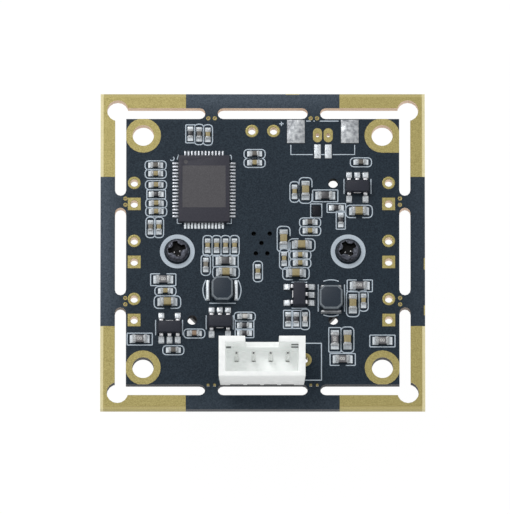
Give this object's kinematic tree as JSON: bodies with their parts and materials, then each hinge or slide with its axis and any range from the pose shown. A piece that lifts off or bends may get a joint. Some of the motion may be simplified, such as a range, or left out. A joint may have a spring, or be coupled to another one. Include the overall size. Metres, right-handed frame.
{
  "type": "camera module",
  "caption": "Small board camera module, lens down: square circuit board in a break-off rim, chips and cable header on the back, screwed lens holder on the front.",
  "frame": {"origin": "on the lens axis, in the plane of the lens barrel's front rim, under the middle of the square board", "axes": "+Z along the lens axis from the lens rim to the component side of the board; +X along the cable header's pin row; +Y from the cable header's edge to the spare socket's edge"},
  "size_m": [0.038, 0.038, 0.0237],
  "materials": {
    "board_mask": "satin solder mask on glass-fibre laminate",
    "bare_gold": "matte gold plate on copper",
    "solder": "bright tin solder",
    "chip_resin": "moulded epoxy",
    "tinned_lead": "tin plated",
    "ferrite": "ferrite in resin",
    "chip_ceramic": "fired ceramic",
    "white_nylon": "moulded nylon",
    "black_screw": "blackened steel",
    "black_holder": "moulded, matte",
    "black_barrel": "anodised, satin",
    "lens_glass": "coated",
    "filter_glass": "coated",
    "sensor_chip": "package and die"
  },
  "bodies": {
    "root": {"aperture_stop": "black_barrel", "back_edge_chip_parts": "chip_ceramic", "circuit_board": "board_mask", "connector_housing": "white_nylon", "connector_pin_1": "bare_gold", "connector_pin_2": "bare_gold", "connector_pin_3": "bare_gold", "connector_pin_4": "bare_gold", "connector_pin_joints": "solder", "core_regulator": "chip_resin", "core_regulator_input_parts": "chip_ceramic", "core_regulator_leads": "tinned_lead", "core_regulator_output_capacitors": "chip_ceramic", "flash_chip": "chip_resin", "flash_chip_capacitors": "chip_ceramic", "flash_chip_resistors": "chip_ceramic", "front_lens": "lens_glass", "front_lens_ring": "black_barrel", "front_right_parts": "chip_ceramic", "holder_screws": "black_screw", "image_sensor": "sensor_chip", "infrared_filter": "filter_glass", "input_regulator": "chip_resin", "input_regulator_capacitors": "chip_ceramic", "input_regulator_leads": "tinned_lead", "left_edge_resistor": "chip_ceramic", "left_inductor_core": "ferrite", "left_inductor_parts": "chip_ceramic", "left_inductor_terminals": "solder", "left_screw_capacitors": "chip_ceramic", "lens_barrel": "black_barrel", "lens_holder": "black_holder", "memory_regulator": "chip_resin", "memory_regulator_leads": "tinned_lead", "memory_regulator_parts": "chip_ceramic", "memory_supply_capacitors": "chip_ceramic", "microphone_filter_parts": "chip_ceramic", "middle_capacitor": "chip_ceramic", "mounting_hole_rings": "bare_gold", "plated_hole_pads": "bare_gold", "processor_body": "chip_resin", "processor_foot_capacitors": "chip_ceramic", "processor_lands": "solder", "processor_side_parts_back": "chip_ceramic", "processor_side_parts_front": "chip_ceramic", "rear_lens": "lens_glass", "rear_lens_ring": "black_barrel", "right_inductor_core": "ferrite", "right_inductor_parts": "chip_ceramic", "right_inductor_terminals": "solder", "rim_corner_plating": "bare_gold", "second_lens": "lens_glass", "sensor_cover_glass": "lens_glass", "sensor_regulator": "chip_resin", "sensor_regulator_leads": "tinned_lead", "sensor_regulator_parts": "chip_ceramic", "sensor_supply_parts": "chip_ceramic", "spacer_ring": "black_barrel", "spare_socket_solder_pads": "solder"}
  },
  "joints": []
}
